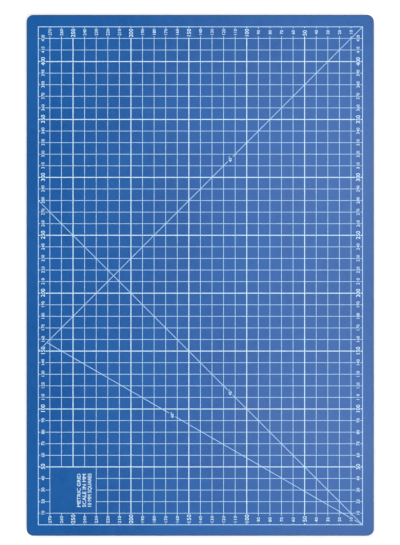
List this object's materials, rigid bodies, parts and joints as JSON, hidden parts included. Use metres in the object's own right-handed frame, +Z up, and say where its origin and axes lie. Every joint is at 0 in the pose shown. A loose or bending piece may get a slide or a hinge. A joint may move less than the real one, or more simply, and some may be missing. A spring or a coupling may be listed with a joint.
{
  "type": "cutting mat",
  "caption": "Thin rectangular self-healing desk cutting mat with rounded corners, a laminate of flexible vinyl sheets, its top face printed with a millimetre ruling and guide angles.",
  "frame": {"origin": "centre of the underside, where the mat rests on the desk", "axes": "+X along the long side, to the right as the printed scale is read; +Y along the short side, to the top of the print; +Z up, out of the printed face"},
  "size_m": [0.45, 0.3, 0.003],
  "materials": {
    "face_vinyl": "satin, fine pebble grain, blue",
    "cushion_vinyl": "matt die-cut edge, dark blue",
    "core_vinyl": "satin die-cut edge, pale grey blue",
    "back_vinyl": "satin, coarser pebble grain, blue, unprinted",
    "print_ink": "screen-printed ink film, near white"
  },
  "bodies": {
    "root": {"face_ply": "face_vinyl", "upper_cushion_ply": "cushion_vinyl", "core_ply": "core_vinyl", "lower_cushion_ply": "cushion_vinyl", "back_ply": "back_vinyl"}
  },
  "joints": []
}
